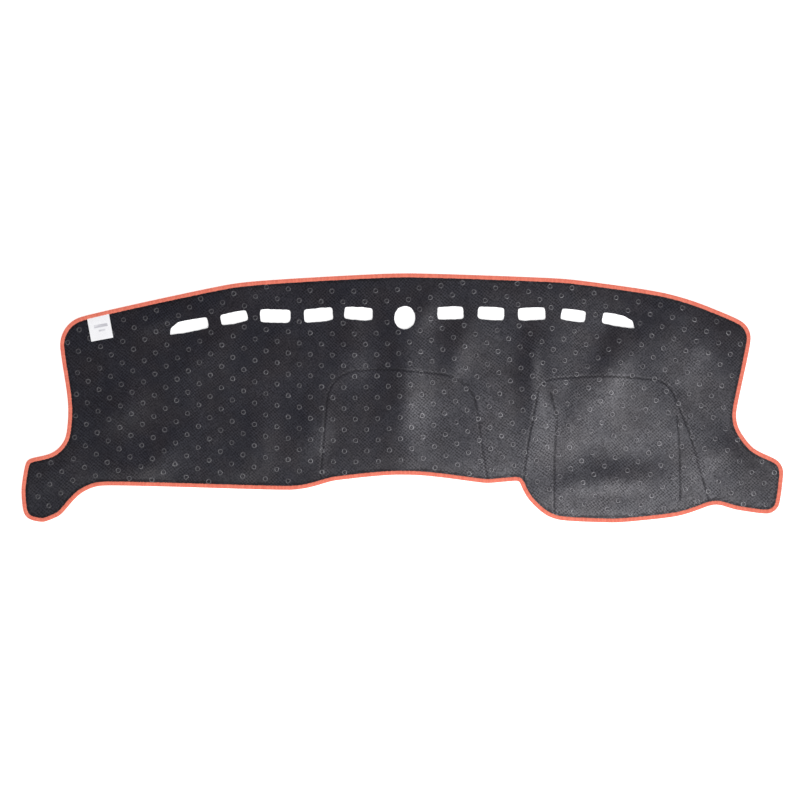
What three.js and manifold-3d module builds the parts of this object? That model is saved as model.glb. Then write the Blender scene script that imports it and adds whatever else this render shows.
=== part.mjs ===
// Dashboard cover mat, laid on its face with the non-slip backing up.
// Millimetres. X runs along the dashboard, Y towards the windscreen, Z up.
// The origin is under the middle of the mat, on the surface that it lies on.

import * as THREE from 'three';
import { mergeVertices } from 'three/addons/utils/BufferGeometryUtils.js';
import Module from 'manifold-3d';

const wasm = await Module();
wasm.setup();

// Driving dimensions of the template
const matLength = 1500; // ear tip to ear tip
const matDepth = 490; // windscreen edge to the hem of the hood lobe
const laminateThickness = 3; // pile, foam and backing bonded into one sheet
const curveTolerance = 0.6; // how far a chord may leave its arc

// Overlocked edge
const bindingWidth = 9; // yarn seen from above
const bindingLip = 1.1; // yarn over and under the sheet
const bindingCore = 1.6; // yarn beyond the cut edge
const bindingStep = 32; // longest stretch between two sections of the yarn
const clearance = 0.3; // between pieces that touch

// Sewn-in label
const tagWidth = 44;
const tagDrop = 44; // from the yarn to its free end
const tagTuck = 3.5; // held under the yarn
const tagThickness = 0.4;
const tagFromLeft = 150; // ear tip to the middle of the label
const tagSkew = -2; // degrees off the edge that it is sewn to

// Pressed shaping creases
const creaseWidth = 2;
const creaseDepth = 0.8;

// Cut-outs along the windscreen edge
const slotCornerRadius = 5;
const sensorHoleX = 5;
const sensorHoleWidth = 44;
const sensorHoleHeight = 48;
const sensorHoleSetback = 87;

// Ripples are laid over a grid of this pitch
const gridPitch = 28;
const gridMargin = 20;
const cutReach = 60; // how far a cutting prism runs past the sheet, up and down

// Places measured from the ends and edges of the mat
const fromLeft = (distance) => -matLength / 2 + distance;
const fromRight = (distance) => matLength / 2 - distance;
const fromRear = (distance) => matDepth / 2 - distance;
const fromFront = (distance) => -matDepth / 2 + distance;

// Outer edge, clockwise seen from above: x, y and radius of each corner
const outlineCorners = [
  [fromLeft(69), fromRear(96), 58], // left shoulder
  [-326, fromRear(17), 669],
  [-4, fromRear(-2), 1534], // crown of the windscreen edge
  [324, fromRear(10), 736],
  [548, fromRear(41), 622],
  [fromRight(58), fromRear(104), 40], // right shoulder
  [fromRight(97), fromFront(195), 71], // right waist
  [fromRight(61), fromFront(146), 60],
  [fromRight(-3), fromFront(116), 31], // right ear
  [fromRight(10), fromFront(14), 27],
  [654, fromFront(25), 176],
  [618, fromFront(38), 51],
  [548, fromFront(12), 232],
  [421, fromFront(-1), 323], // hem of the hood lobe
  [291, fromFront(5), 84],
  [246, fromFront(47), 123],
  [230, fromFront(82), 6], // notch beside the hood lobe
  [166, fromFront(77), 86],
  [5, fromFront(98), 583], // rise over the centre stack
  [-137, fromFront(82), 111],
  [-201, fromFront(63), 274],
  [-452, fromFront(71), 900],
  [-622, fromFront(73), 90],
  [fromLeft(76), fromFront(13), 39], // left ear
  [fromLeft(43), fromFront(0), 22],
  [fromLeft(6), fromFront(7), 25],
  [fromLeft(-2), fromFront(64), 149],
  [fromLeft(10), fromFront(124), 16],
  [fromLeft(84), fromFront(141), 60],
  [fromLeft(95), fromFront(219), 302], // left waist
];

// Slots, left to right: middle x, distance of the middle from the outer edge,
// tilt in degrees, length and width. The two end slots taper to a point:
// end is the side, run and drop place the bend of the taper, tip its lower run.
const slots = [
  { x: -421, setback: 65, tilt: 10, length: 80, width: 24, taper: { end: -1, run: 21, drop: 9, tip: 4 } },
  { x: -331, setback: 67, tilt: 11, length: 55, width: 23 },
  { x: -250, setback: 71, tilt: -1, length: 61, width: 27 },
  { x: -165, setback: 74, tilt: 5, length: 59, width: 27 },
  { x: -86, setback: 76, tilt: -3, length: 57, width: 26 },
  { x: 95, setback: 76, tilt: 2, length: 53, width: 26 },
  { x: 175, setback: 74, tilt: -4, length: 54, width: 26 },
  { x: 255, setback: 72, tilt: 2, length: 55, width: 26 },
  { x: 337, setback: 70, tilt: -8, length: 50, width: 24 },
  { x: 427, setback: 68, tilt: -9, length: 68, width: 24, taper: { end: 1, run: 28, drop: 8, tip: 7 } },
];

// Creases over the centre stack and around the instrument hood: x, y, corner radius
const creases = [
  [[-163, fromFront(74), 0], [-144, 53, 65], [-4, 57, 600], [138, 40, 75], [155, -83, 300], [169, fromFront(70), 0]],
  [
    [236, fromFront(68), 0], [246, -95, 300], [271, 36, 35], [390, 46, 700], [524, 34, 45],
    [567, -68, 400], [587, -142, 300], [609, fromFront(32), 0],
  ],
  [[293, 12, 0], [305, -34, 80], [299, -112, 300], [299, fromFront(8), 0]],
  [[542, -34, 0], [547, -103, 300], [549, fromFront(44), 0]],
];

// Soft lifts of the laid sheet: middle, direction in degrees, half length, half width, height
const ripples = [
  { x: 4, y: 40, turn: 90, reach: 240, spread: 62, height: 3.4 }, // over the centre line
  { x: 267, y: 24, turn: 95, reach: 170, spread: 55, height: 3.4 },
  { x: 452, y: 78, turn: 54, reach: 150, spread: 62, height: 3.8 },
  { x: 602, y: 108, turn: 68, reach: 110, spread: 55, height: 2.2 },
  { x: 410, y: -172, turn: 2, reach: 190, spread: 58, height: 3.8 }, // along the hood hem
  { x: -290, y: -96, turn: 92, reach: 85, spread: 50, height: 2.2 },
  { x: -182, y: -70, turn: 84, reach: 100, spread: 50, height: 2.2 },
  { x: -485, y: -122, turn: 42, reach: 90, spread: 50, height: 2.8 },
  { x: -545, y: -14, turn: 40, reach: 90, spread: 55, height: 2.2 },
  { x: -392, y: 70, turn: 20, reach: 110, spread: 55, height: 1.7 },
  { x: -100, y: 82, turn: 30, reach: 90, spread: 50, height: 1.7 },
];

const restHeight = bindingLip + clearance; // underside of the sheet above the floor
const sheetTop = restHeight + laminateThickness;

// Height of one ripple: a raised cosine that dies out at its reach and spread
function rippleHeight({ x, y, turn, reach, spread, height }, px, py) {
  const angle = THREE.MathUtils.degToRad(turn);
  const along = ((px - x) * Math.cos(angle) + (py - y) * Math.sin(angle)) / reach;
  const across = ((py - y) * Math.cos(angle) - (px - x) * Math.sin(angle)) / spread;
  if (Math.abs(along) >= 1 || Math.abs(across) >= 1) return 0;
  return height * Math.cos((along * Math.PI) / 2) ** 2 * Math.cos((across * Math.PI) / 2) ** 2;
}

const nodeHeight = (px, py) => ripples.reduce((sum, ripple) => sum + rippleHeight(ripple, px, py), 0);

// The grid that carries every draped face
const columns = Math.ceil((matLength / 2 + gridMargin) / gridPitch) * 2;
const rows = Math.ceil((matDepth / 2 + gridMargin) / gridPitch) * 2;
const gridX = (column) => (column - columns / 2) * gridPitch;
const gridY = (row) => (row - rows / 2) * gridPitch;

// Height of the draped grid at any point, flat over each of its triangles
function drapeHeight(px, py) {
  const column = Math.floor(px / gridPitch + columns / 2);
  const row = Math.floor(py / gridPitch + rows / 2);
  const u = (px - gridX(column)) / gridPitch;
  const v = (py - gridY(row)) / gridPitch;
  const near = nodeHeight(gridX(column), gridY(row));
  const far = nodeHeight(gridX(column + 1), gridY(row + 1));
  if (u >= v) {
    const right = nodeHeight(gridX(column + 1), gridY(row));
    return near + (right - near) * u + (far - right) * v;
  }
  const upper = nodeHeight(gridX(column), gridY(row + 1));
  return near + (upper - near) * v + (far - upper) * u;
}

function solidOf(geometry) {
  const plain = geometry.clone();
  plain.deleteAttribute('normal');
  plain.deleteAttribute('uv');
  const merged = mergeVertices(plain, 1e-4);
  return new wasm.Manifold(
    new wasm.Mesh({
      numProp: 3,
      vertProperties: new Float32Array(merged.attributes.position.array),
      triVerts: new Uint32Array(merged.index.array),
    }),
  );
}

function geometryOf(solid) {
  const mesh = solid.getMesh();
  const geometry = new THREE.BufferGeometry();
  geometry.setAttribute('position', new THREE.BufferAttribute(mesh.vertProperties, 3));
  geometry.setIndex(new THREE.BufferAttribute(mesh.triVerts, 1));
  geometry.computeVertexNormals();
  return geometry;
}

function meshGeometry(positions, triangles) {
  const geometry = new THREE.BufferGeometry();
  geometry.setAttribute('position', new THREE.Float32BufferAttribute(positions, 3));
  geometry.setIndex(triangles);
  return geometry;
}

// A slab over the whole grid between two heights above the draped surface
function drapedSlab(low, high) {
  const positions = [];
  const triangles = [];
  const layerSize = (columns + 1) * (rows + 1);
  const at = (column, row, layer) => layer * layerSize + row * (columns + 1) + column;
  for (const level of [low, high]) {
    for (let row = 0; row <= rows; row += 1) {
      for (let column = 0; column <= columns; column += 1) {
        const x = gridX(column);
        const y = gridY(row);
        positions.push(x, y, level + nodeHeight(x, y));
      }
    }
  }
  for (let row = 0; row < rows; row += 1) {
    for (let column = 0; column < columns; column += 1) {
      for (const layer of [0, 1]) {
        const near = at(column, row, layer);
        const right = at(column + 1, row, layer);
        const far = at(column + 1, row + 1, layer);
        const upper = at(column, row + 1, layer);
        if (layer === 1) triangles.push(near, right, far, near, far, upper);
        else triangles.push(near, far, right, near, upper, far);
      }
    }
  }
  const wall = (ax, ay, bx, by) => {
    triangles.push(at(ax, ay, 0), at(bx, by, 0), at(bx, by, 1), at(ax, ay, 0), at(bx, by, 1), at(ax, ay, 1));
  };
  for (let column = 0; column < columns; column += 1) {
    wall(column, 0, column + 1, 0);
    wall(column + 1, rows, column, rows);
  }
  for (let row = 0; row < rows; row += 1) {
    wall(columns, row, columns, row + 1);
    wall(0, row + 1, 0, row);
  }
  return solidOf(meshGeometry(positions, triangles));
}

// Points of the arc that rounds one corner between its two neighbours
function filletPoints(before, corner, after, radius) {
  const point = new THREE.Vector2(corner[0], corner[1]);
  const toBefore = new THREE.Vector2(before[0], before[1]).sub(point);
  const toAfter = new THREE.Vector2(after[0], after[1]).sub(point);
  const half = toBefore.angleTo(toAfter) / 2;
  const room = 0.49 * Math.min(toBefore.length(), toAfter.length());
  const tangent = Math.min(radius / Math.tan(half), room);
  const arcRadius = tangent * Math.tan(half);
  if (arcRadius < 1e-3 || half > Math.PI / 2 - 1e-3) return [point];
  toBefore.normalize();
  toAfter.normalize();
  const centre = toBefore.clone().add(toAfter).normalize().multiplyScalar(arcRadius / Math.sin(half)).add(point);
  const start = toBefore.multiplyScalar(tangent).add(point).sub(centre);
  const end = toAfter.multiplyScalar(tangent).add(point).sub(centre);
  const sweep = Math.atan2(start.cross(end), start.dot(end));
  const chord = 2 * Math.acos(1 - Math.min(curveTolerance / arcRadius, 0.3));
  const steps = Math.max(2, Math.ceil(Math.abs(sweep) / chord));
  const origin = new THREE.Vector2();
  return Array.from({ length: steps + 1 }, (_, step) =>
    start.clone().rotateAround(origin, (sweep * step) / steps).add(centre),
  );
}

function roundedLoop(corners) {
  const last = corners.length - 1;
  return corners.flatMap((corner, index) =>
    filletPoints(corners[index === 0 ? last : index - 1], corner, corners[index === last ? 0 : index + 1], corner[2]),
  );
}

function roundedPath(corners) {
  const last = corners.length - 1;
  return corners.flatMap((corner, index) =>
    index === 0 || index === last
      ? [new THREE.Vector2(corner[0], corner[1])]
      : filletPoints(corners[index - 1], corner, corners[index + 1], corner[2]),
  );
}

// Splits long stretches of a loop so that the yarn can follow the ripples
function withShortSteps(loop, longest) {
  return loop.flatMap((point, index) => {
    const next = loop[(index + 1) % loop.length];
    const steps = Math.max(1, Math.ceil(point.distanceTo(next) / longest));
    return Array.from({ length: steps }, (_, step) => point.clone().lerp(next, step / steps));
  });
}

// Direction into the mat at each point of a clockwise loop, lengthened at a bend to keep the width
function inwardDirections(loop) {
  return loop.map((point, index) => {
    const before = point.clone().sub(loop[(index + loop.length - 1) % loop.length]).normalize();
    const after = loop[(index + 1) % loop.length].clone().sub(point).normalize();
    const mean = before.clone().add(after).normalize();
    return new THREE.Vector2(mean.y, -mean.x).divideScalar(mean.dot(after));
  });
}

function insetLoop(loop, distance) {
  const inward = inwardDirections(loop);
  return loop.map((point, index) => point.clone().addScaledVector(inward[index], distance));
}

// An upright prism that runs well past both faces of the sheet
function cuttingPrism(loop) {
  const prism = new THREE.ExtrudeGeometry(new THREE.Shape(loop), { depth: 2 * cutReach, bevelEnabled: false });
  prism.translate(0, 0, -cutReach);
  return solidOf(prism);
}

const edgeLoop = roundedLoop(outlineCorners);

// The windscreen edge above or below a given x, with its direction
function rearEdgeAt(x) {
  for (let index = 0; index < edgeLoop.length; index += 1) {
    const start = edgeLoop[index];
    const end = edgeLoop[(index + 1) % edgeLoop.length];
    if (start.x <= x && end.x > x) {
      const share = (x - start.x) / (end.x - start.x);
      const along = end.clone().sub(start).normalize();
      return { point: start.clone().lerp(end, share), along, inward: new THREE.Vector2(along.y, -along.x) };
    }
  }
  throw new Error(`the mat doesn't reach x = ${x}`);
}

// Loop of one slot, tilted about its middle
function slotLoop({ x, setback, tilt, length, width, taper }) {
  const middle = new THREE.Vector2(x, rearEdgeAt(x).point.y - setback);
  const side = taper ? taper.end : 1;
  const tip = side * (length / 2);
  const heel = -tip;
  const corners = [[heel, -width / 2, slotCornerRadius], [heel, width / 2, slotCornerRadius]];
  if (taper) {
    corners.push([tip - side * taper.run, width / 2, 2 * slotCornerRadius]);
    corners.push([tip - side * taper.tip, width / 2 - taper.drop, 2 * slotCornerRadius]);
    corners.push([tip, -width / 2, 1]);
  } else {
    corners.push([tip, width / 2, slotCornerRadius], [tip, -width / 2, slotCornerRadius]);
  }
  const origin = new THREE.Vector2();
  const angle = THREE.MathUtils.degToRad(tilt);
  return roundedLoop(corners).map((point) => point.rotateAround(origin, angle).add(middle));
}

function sensorHoleLoop() {
  const middle = rearEdgeAt(sensorHoleX).point.y - sensorHoleSetback;
  const curve = new THREE.EllipseCurve(sensorHoleX, middle, sensorHoleWidth / 2, sensorHoleHeight / 2);
  return curve.getPoints(28).slice(0, -1);
}

// A band of the crease's width along its path
function creaseLoop(corners) {
  const path = roundedPath(corners);
  const sides = path.map((point, index) => {
    const before = path[Math.max(index - 1, 0)];
    const after = path[Math.min(index + 1, path.length - 1)];
    const along = after.clone().sub(before).normalize();
    return new THREE.Vector2(-along.y, along.x).multiplyScalar(creaseWidth / 2);
  });
  const left = path.map((point, index) => point.clone().add(sides[index]));
  const right = path.map((point, index) => point.clone().sub(sides[index]));
  return [...left, ...right.reverse()];
}

// The label hangs inward from the yarn; grown adds room around it
function tagLoop(grown) {
  const edge = rearEdgeAt(fromLeft(tagFromLeft));
  const origin = new THREE.Vector2();
  const skew = THREE.MathUtils.degToRad(tagSkew);
  const top = bindingWidth - tagTuck - grown;
  const foot = bindingWidth + tagDrop + grown;
  const halfWidth = tagWidth / 2 + grown;
  const corners = [[-halfWidth, top], [halfWidth, top], [halfWidth, foot], [-halfWidth, foot]];
  return corners.map(([across, down]) => {
    const offset = edge.along.clone().multiplyScalar(across).addScaledVector(edge.inward, down);
    return offset.rotateAround(origin, skew).add(edge.point);
  });
}

// One laminated sheet, with its cut-outs and the creases pressed into its backing
function makeSheet() {
  let sheet = drapedSlab(restHeight, sheetTop).intersect(cuttingPrism(insetLoop(edgeLoop, bindingCore)));
  for (const slot of slots) sheet = sheet.subtract(cuttingPrism(slotLoop(slot)));
  sheet = sheet.subtract(cuttingPrism(sensorHoleLoop()));
  const pressed = drapedSlab(sheetTop - creaseDepth, sheetTop + creaseDepth);
  for (const crease of creases) sheet = sheet.subtract(pressed.intersect(cuttingPrism(creaseLoop(crease))));
  return sheet;
}

// Half of the yarn's section: distance from its outer edge, height above the middle of the sheet
function yarnSection() {
  const crown = laminateThickness / 2 + clearance + bindingLip;
  const upper = [
    [0, crown * 0.42],
    [bindingWidth * 0.09, crown * 0.84],
    [bindingWidth * 0.3, crown],
    [bindingWidth * 0.82, crown],
    [bindingWidth, crown - bindingLip * 0.5],
  ];
  const lower = upper.map(([across, up]) => [across, -up]).reverse();
  return [...upper, ...lower];
}

// Yarn overlocked around the whole edge, with room for the sheet and the label
function makeBinding() {
  const loop = withShortSteps(edgeLoop, bindingStep);
  const inward = inwardDirections(loop);
  const section = yarnSection();
  const middle = restHeight + laminateThickness / 2;
  const positions = [];
  const triangles = [];
  loop.forEach((point, station) => {
    for (const [across, up] of section) {
      const place = point.clone().addScaledVector(inward[station], across);
      positions.push(place.x, place.y, middle + up + drapeHeight(place.x, place.y));
    }
  });
  const size = section.length;
  loop.forEach((_, station) => {
    const here = station * size;
    const ahead = ((station + 1) % loop.length) * size;
    for (let side = 0; side < size; side += 1) {
      const next = (side + 1) % size;
      triangles.push(here + side, here + next, ahead + next, here + side, ahead + next, ahead + side);
    }
  });
  const yarn = solidOf(meshGeometry(positions, triangles));
  const sheetRoom = drapedSlab(restHeight - clearance, sheetTop + clearance)
    .intersect(cuttingPrism(insetLoop(edgeLoop, bindingCore - clearance)));
  const tagRoom = drapedSlab(sheetTop, sheetTop + tagThickness + 2 * clearance)
    .intersect(cuttingPrism(tagLoop(clearance)));
  return yarn.subtract(sheetRoom).subtract(tagRoom);
}

// Woven label, sewn in under the yarn
function makeTag() {
  const bottom = sheetTop + clearance;
  return drapedSlab(bottom, bottom + tagThickness).intersect(cuttingPrism(tagLoop(0)));
}

function part(name, solid, material) {
  const mesh = new THREE.Mesh(geometryOf(solid), new THREE.MeshStandardMaterial({ metalness: 0, ...material }));
  mesh.name = name;
  return mesh;
}

const mat = new THREE.Group();
mat.add(part('mat_sheet', makeSheet(), { color: '#3d3d44', roughness: 0.85 }));
mat.add(part('edge_binding', makeBinding(), { color: '#ed6f52', roughness: 0.8 }));
mat.add(part('care_tag', makeTag(), { color: '#f1f1f2', roughness: 0.7 }));

// The rounded corners leave the box a little off the middle
const outerBox = new THREE.Box3().setFromObject(mat);
mat.position.x = -(outerBox.min.x + outerBox.max.x) / 2;
mat.position.y = -(outerBox.min.y + outerBox.max.y) / 2;

export default mat;
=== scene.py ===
# Dashboard cover mat lying on its face, seen from above
import math

import bpy
import numpy as np
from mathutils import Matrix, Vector
from mathutils.bvhtree import BVHTree
from mathutils.geometry import delaunay_2d_cdt
from mathutils.kdtree import KDTree


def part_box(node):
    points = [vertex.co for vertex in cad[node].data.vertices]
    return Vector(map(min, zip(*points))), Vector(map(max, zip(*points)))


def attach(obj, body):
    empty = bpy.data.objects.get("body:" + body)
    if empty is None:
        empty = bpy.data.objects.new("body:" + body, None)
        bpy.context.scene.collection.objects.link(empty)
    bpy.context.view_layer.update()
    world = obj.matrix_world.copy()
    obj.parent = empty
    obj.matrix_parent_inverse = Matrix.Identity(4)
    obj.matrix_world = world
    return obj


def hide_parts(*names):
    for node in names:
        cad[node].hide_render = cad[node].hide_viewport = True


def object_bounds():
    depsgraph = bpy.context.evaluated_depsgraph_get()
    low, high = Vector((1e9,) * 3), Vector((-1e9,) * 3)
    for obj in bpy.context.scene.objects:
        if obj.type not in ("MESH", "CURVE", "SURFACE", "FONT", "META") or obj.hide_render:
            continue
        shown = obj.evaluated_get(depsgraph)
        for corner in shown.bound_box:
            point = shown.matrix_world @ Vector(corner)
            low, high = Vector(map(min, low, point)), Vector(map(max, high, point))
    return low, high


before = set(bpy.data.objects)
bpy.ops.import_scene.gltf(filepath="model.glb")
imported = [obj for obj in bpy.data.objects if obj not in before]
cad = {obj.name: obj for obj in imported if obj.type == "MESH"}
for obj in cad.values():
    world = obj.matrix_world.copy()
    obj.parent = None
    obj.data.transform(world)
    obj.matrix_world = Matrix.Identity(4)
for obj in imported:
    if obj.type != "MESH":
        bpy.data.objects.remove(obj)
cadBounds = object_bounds()
scene = bpy.context.scene
print("frame loaded")

# Sizes in metres that more than one piece needs
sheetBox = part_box("mat_sheet")
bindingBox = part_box("edge_binding")
yarnCore = (bindingBox[1].x - bindingBox[0].x - sheetBox[1].x + sheetBox[0].x) / 2
restHeight = sheetBox[0].z
belowSheet = -0.05  # from this height the underside is looked for
flatFace = 0.7  # least upright share of a normal on the two broad sides


# Reading the frame

def cadArrays(name):
    mesh = cad[name].data
    mesh.calc_loop_triangles()
    points = np.empty(len(mesh.vertices) * 3)
    mesh.vertices.foreach_get("co", points)
    corners = np.empty(len(mesh.loop_triangles) * 3, int)
    mesh.loop_triangles.foreach_get("vertices", corners)
    points = points.reshape(-1, 3)
    rounded, inverse = np.unique(np.round(points, 6), axis=0, return_inverse=True)
    return rounded, inverse.reshape(-1)[corners].reshape(-1, 3)


def faceNormals(points, triangles):
    a, b, c = points[triangles[:, 0]], points[triangles[:, 1]], points[triangles[:, 2]]
    normals = np.cross(b - a, c - a)
    return normals / (np.linalg.norm(normals, axis=1, keepdims=True) + 1e-12)


def boundaryLoops(triangles):
    # Directed edges without a partner, chained nose to tail
    edges = set()
    for a, b, c in triangles.tolist():
        edges.update(((a, b), (b, c), (c, a)))
    following = {a: b for a, b in edges if (b, a) not in edges}
    loops = []
    while following:
        start, here = following.popitem()
        loop = [start]
        while here != start:
            loop.append(here)
            here = following.pop(here)
        loops.append(loop)
    return loops


def withoutStraightPoints(loop, leastTurn):
    before = loop - np.roll(loop, 1, axis=0)
    after = np.roll(loop, -1, axis=0) - loop
    cross = before[:, 0] * after[:, 1] - before[:, 1] * after[:, 0]
    turn = np.arctan2(cross, (before * after).sum(axis=1))
    return loop[np.abs(turn) > leastTurn]


def smoothLoop(loop, spacing, leastTurn=math.radians(1.2)):
    # A centripetal Catmull-Rom curve through the bends, resampled evenly
    knots = withoutStraightPoints(loop, leastTurn)
    out = []
    for i in range(len(knots)):
        p0, p1, p2, p3 = (knots[(i + k) % len(knots)] for k in (-1, 0, 1, 2))
        t1 = np.linalg.norm(p1 - p0) ** 0.5
        t2 = t1 + np.linalg.norm(p2 - p1) ** 0.5
        t3 = t2 + np.linalg.norm(p3 - p2) ** 0.5
        steps = max(2, int(np.linalg.norm(p2 - p1) / (spacing * 0.5)))
        t = np.linspace(t1, t2, steps, endpoint=False)[:, None]
        a1 = p0 * (t1 - t) / t1 + p1 * t / t1
        a2 = p1 * (t2 - t) / (t2 - t1) + p2 * (t - t1) / (t2 - t1)
        a3 = p2 * (t3 - t) / (t3 - t2) + p3 * (t - t2) / (t3 - t2)
        b1 = a1 * (t2 - t) / t2 + a2 * t / t2
        b2 = a2 * (t3 - t) / (t3 - t1) + a3 * (t - t1) / (t3 - t1)
        out.append(b1 * (t2 - t) / (t2 - t1) + b2 * (t - t1) / (t2 - t1))
    return resampledLoop(np.concatenate(out), spacing)


def resampledLoop(loop, spacing):
    closed = np.vstack([loop, loop[:1]])
    travel = np.concatenate([[0], np.cumsum(np.linalg.norm(np.diff(closed, axis=0), axis=1))])
    count = max(8, int(round(travel[-1] / spacing)))
    at = np.linspace(0, travel[-1], count, endpoint=False)
    return np.column_stack([np.interp(at, travel, closed[:, k]) for k in (0, 1)])


def loopArea(loop):
    x, y = loop.T
    return 0.5 * np.sum(x * np.roll(y, -1) - np.roll(x, -1) * y)


def outwardNormals(loop):
    # For a loop that runs anticlockwise
    along = np.roll(loop, -1, axis=0) - np.roll(loop, 1, axis=0)
    along /= np.linalg.norm(along, axis=1, keepdims=True)
    return np.column_stack([along[:, 1], -along[:, 0]])


sheetPoints, sheetTriangles = cadArrays("mat_sheet")
sheetNormals = faceNormals(sheetPoints, sheetTriangles)
underside = sheetTriangles[sheetNormals[:, 2] < -flatFace]
upside = sheetTriangles[sheetNormals[:, 2] > flatFace]
cadLoops = [sheetPoints[loop][:, :2] for loop in boundaryLoops(underside)]
cadLoops.sort(key=lambda loop: -abs(loopArea(loop)))
cadLoops = [loop if loopArea(loop) > 0 else loop[::-1] for loop in cadLoops]
undersideTree = BVHTree.FromPolygons(sheetPoints.tolist(), underside.tolist())


# Soft shapes

def cubicSample(values, column, row):
    # Catmull-Rom between the nodes of a grid
    rows, columns = values.shape
    i = np.clip(np.floor(column).astype(int), 0, columns - 2)
    j = np.clip(np.floor(row).astype(int), 0, rows - 2)
    u, v = column - i, row - j

    def weights(t):
        return [
            -0.5 * t + t * t - 0.5 * t ** 3,
            1 - 2.5 * t * t + 1.5 * t ** 3,
            0.5 * t + 2 * t * t - 1.5 * t ** 3,
            -0.5 * t * t + 0.5 * t ** 3,
        ]

    total = 0
    for dj, wv in enumerate(weights(v)):
        nearRow = np.clip(j + dj - 1, 0, rows - 1)
        line = 0
        for di, wu in enumerate(weights(u)):
            line = line + wu * values[nearRow, np.clip(i + di - 1, 0, columns - 1)]
        total = total + wv * line
    return total


def softNoise(points, pitch, seed):
    # Smooth noise between -1 and 1 at the given pitch, the same for every piece
    rng = np.random.default_rng(seed)
    low = np.array(cadBounds[0][:2]) - 3 * pitch
    size = np.ceil((np.array(cadBounds[1][:2]) - low) / pitch).astype(int) + 5
    grid = rng.uniform(-1, 1, (size[1], size[0]))
    return cubicSample(grid, (points[:, 0] - low[0]) / pitch, (points[:, 1] - low[1]) / pitch)


def smoothStep(value, low, high):
    t = np.clip((value - low) / (high - low), 0, 1)
    return t * t * (3 - 2 * t)


ground = {
    "pitch": 0.014,  # grid over which the frame's ripples are read
    "margin": 0.03,  # of that grid beyond the mat
    "edgeSpacing": 0.0036,  # between points of the cut edge
    "sag": 0.0009,  # the middle of the sheet sinks inside the thicker edge
    "sagReach": (0.006, 0.035),  # where it begins and is full, from the edge
    "relief": 2.4,  # the cloth stands prouder in its ripples than its plain solid
    "dimples": [(0.105, 0.0016, 11), (0.05, 0.0007, 12), (0.024, 0.00022, 13)],  # pitch, height, seed
}

liftFall = 1.6  # how steeply a lift falls away from its middle

# Small soft lifts: middle, direction in degrees, half length, half width, height
lifts = [
    (0.112, 0.098, 76, 0.075, 0.034, 0.0026),
    (-0.125, 0.182, 80, 0.034, 0.030, 0.0022),
    (0.046, 0.172, 70, 0.040, 0.028, 0.0022),
    (-0.097, 0.142, 75, 0.060, 0.036, 0.0028),
    (0.262, 0.090, 84, 0.080, 0.026, 0.0024),
    (-0.490, 0.152, 20, 0.050, 0.030, 0.0034),
    (-0.369, 0.116, 35, 0.055, 0.040, 0.0026),
    (0.422, 0.106, 62, 0.080, 0.034, 0.0032),
    (0.640, -0.110, 35, 0.080, 0.045, 0.0032),
    (0.335, -0.060, 84, 0.090, 0.030, 0.0024),
    (-0.560, -0.150, 130, 0.080, 0.045, 0.0030),
]


def readRipples():
    low = np.array(cadBounds[0][:2]) - ground["margin"]
    high = np.array(cadBounds[1][:2]) + ground["margin"]
    columns, rows = np.ceil((high - low) / ground["pitch"]).astype(int) + 1
    heights = np.zeros((rows, columns))
    for row in range(rows):
        for column in range(columns):
            x, y = low + ground["pitch"] * np.array([column, row])
            place = undersideTree.find_nearest(Vector((x, y, belowSheet)))[0]
            heights[row, column] = place.z - restHeight
    for axis in (0, 1, 0, 1):  # smoothed twice each way
        ahead = np.roll(heights, -1, axis)
        behind = np.roll(heights, 1, axis)
        heights = 0.25 * ahead + 0.5 * heights + 0.25 * behind
    return low, heights


rippleLow, rippleGrid = readRipples()
edgeLoop = smoothLoop(cadLoops[0], ground["edgeSpacing"])
edgeTree = KDTree(len(edgeLoop))
for i, (x, y) in enumerate(edgeLoop):
    edgeTree.insert((x, y, 0), i)
edgeTree.balance()


def edgeDistance(points):
    return np.array([edgeTree.find((x, y, 0))[2] for x, y in points])


def liftHeight(points, x, y, turn, reach, spread, height):
    angle = math.radians(turn)
    dx, dy = points[:, 0] - x, points[:, 1] - y
    along = (dx * math.cos(angle) + dy * math.sin(angle)) / reach
    across = (dy * math.cos(angle) - dx * math.sin(angle)) / spread
    return height * np.exp(-liftFall * (along ** 2 + across ** 2))


def rippleHeight(points):
    at = (points - rippleLow) / ground["pitch"]
    ripples = cubicSample(rippleGrid, at[:, 0], at[:, 1]) * ground["relief"]
    return ripples + sum(liftHeight(points, *lift) for lift in lifts)


def groundHeight(points, fromEdge=None):
    # Underside of the sheet above the floor
    fromEdge = edgeDistance(points) if fromEdge is None else fromEdge
    inside = smoothStep(fromEdge, *ground["sagReach"])
    height = restHeight + rippleHeight(points) - ground["sag"] * inside
    for pitch, size, seed in ground["dimples"]:
        height = height + size * (0.5 + 0.5 * softNoise(points, pitch, seed)) * inside
    return height


print("ripples read")


# Shader groups

def newGroup(name, inputs, outputs):
    group = bpy.data.node_groups.new(name, "ShaderNodeTree")
    for socketName, kind, default in inputs:
        socket = group.interface.new_socket(name=socketName, in_out="INPUT", socket_type=kind)
        if default is not None:
            socket.default_value = default
    for socketName, kind in outputs:
        group.interface.new_socket(name=socketName, in_out="OUTPUT", socket_type=kind)
    return group


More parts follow.
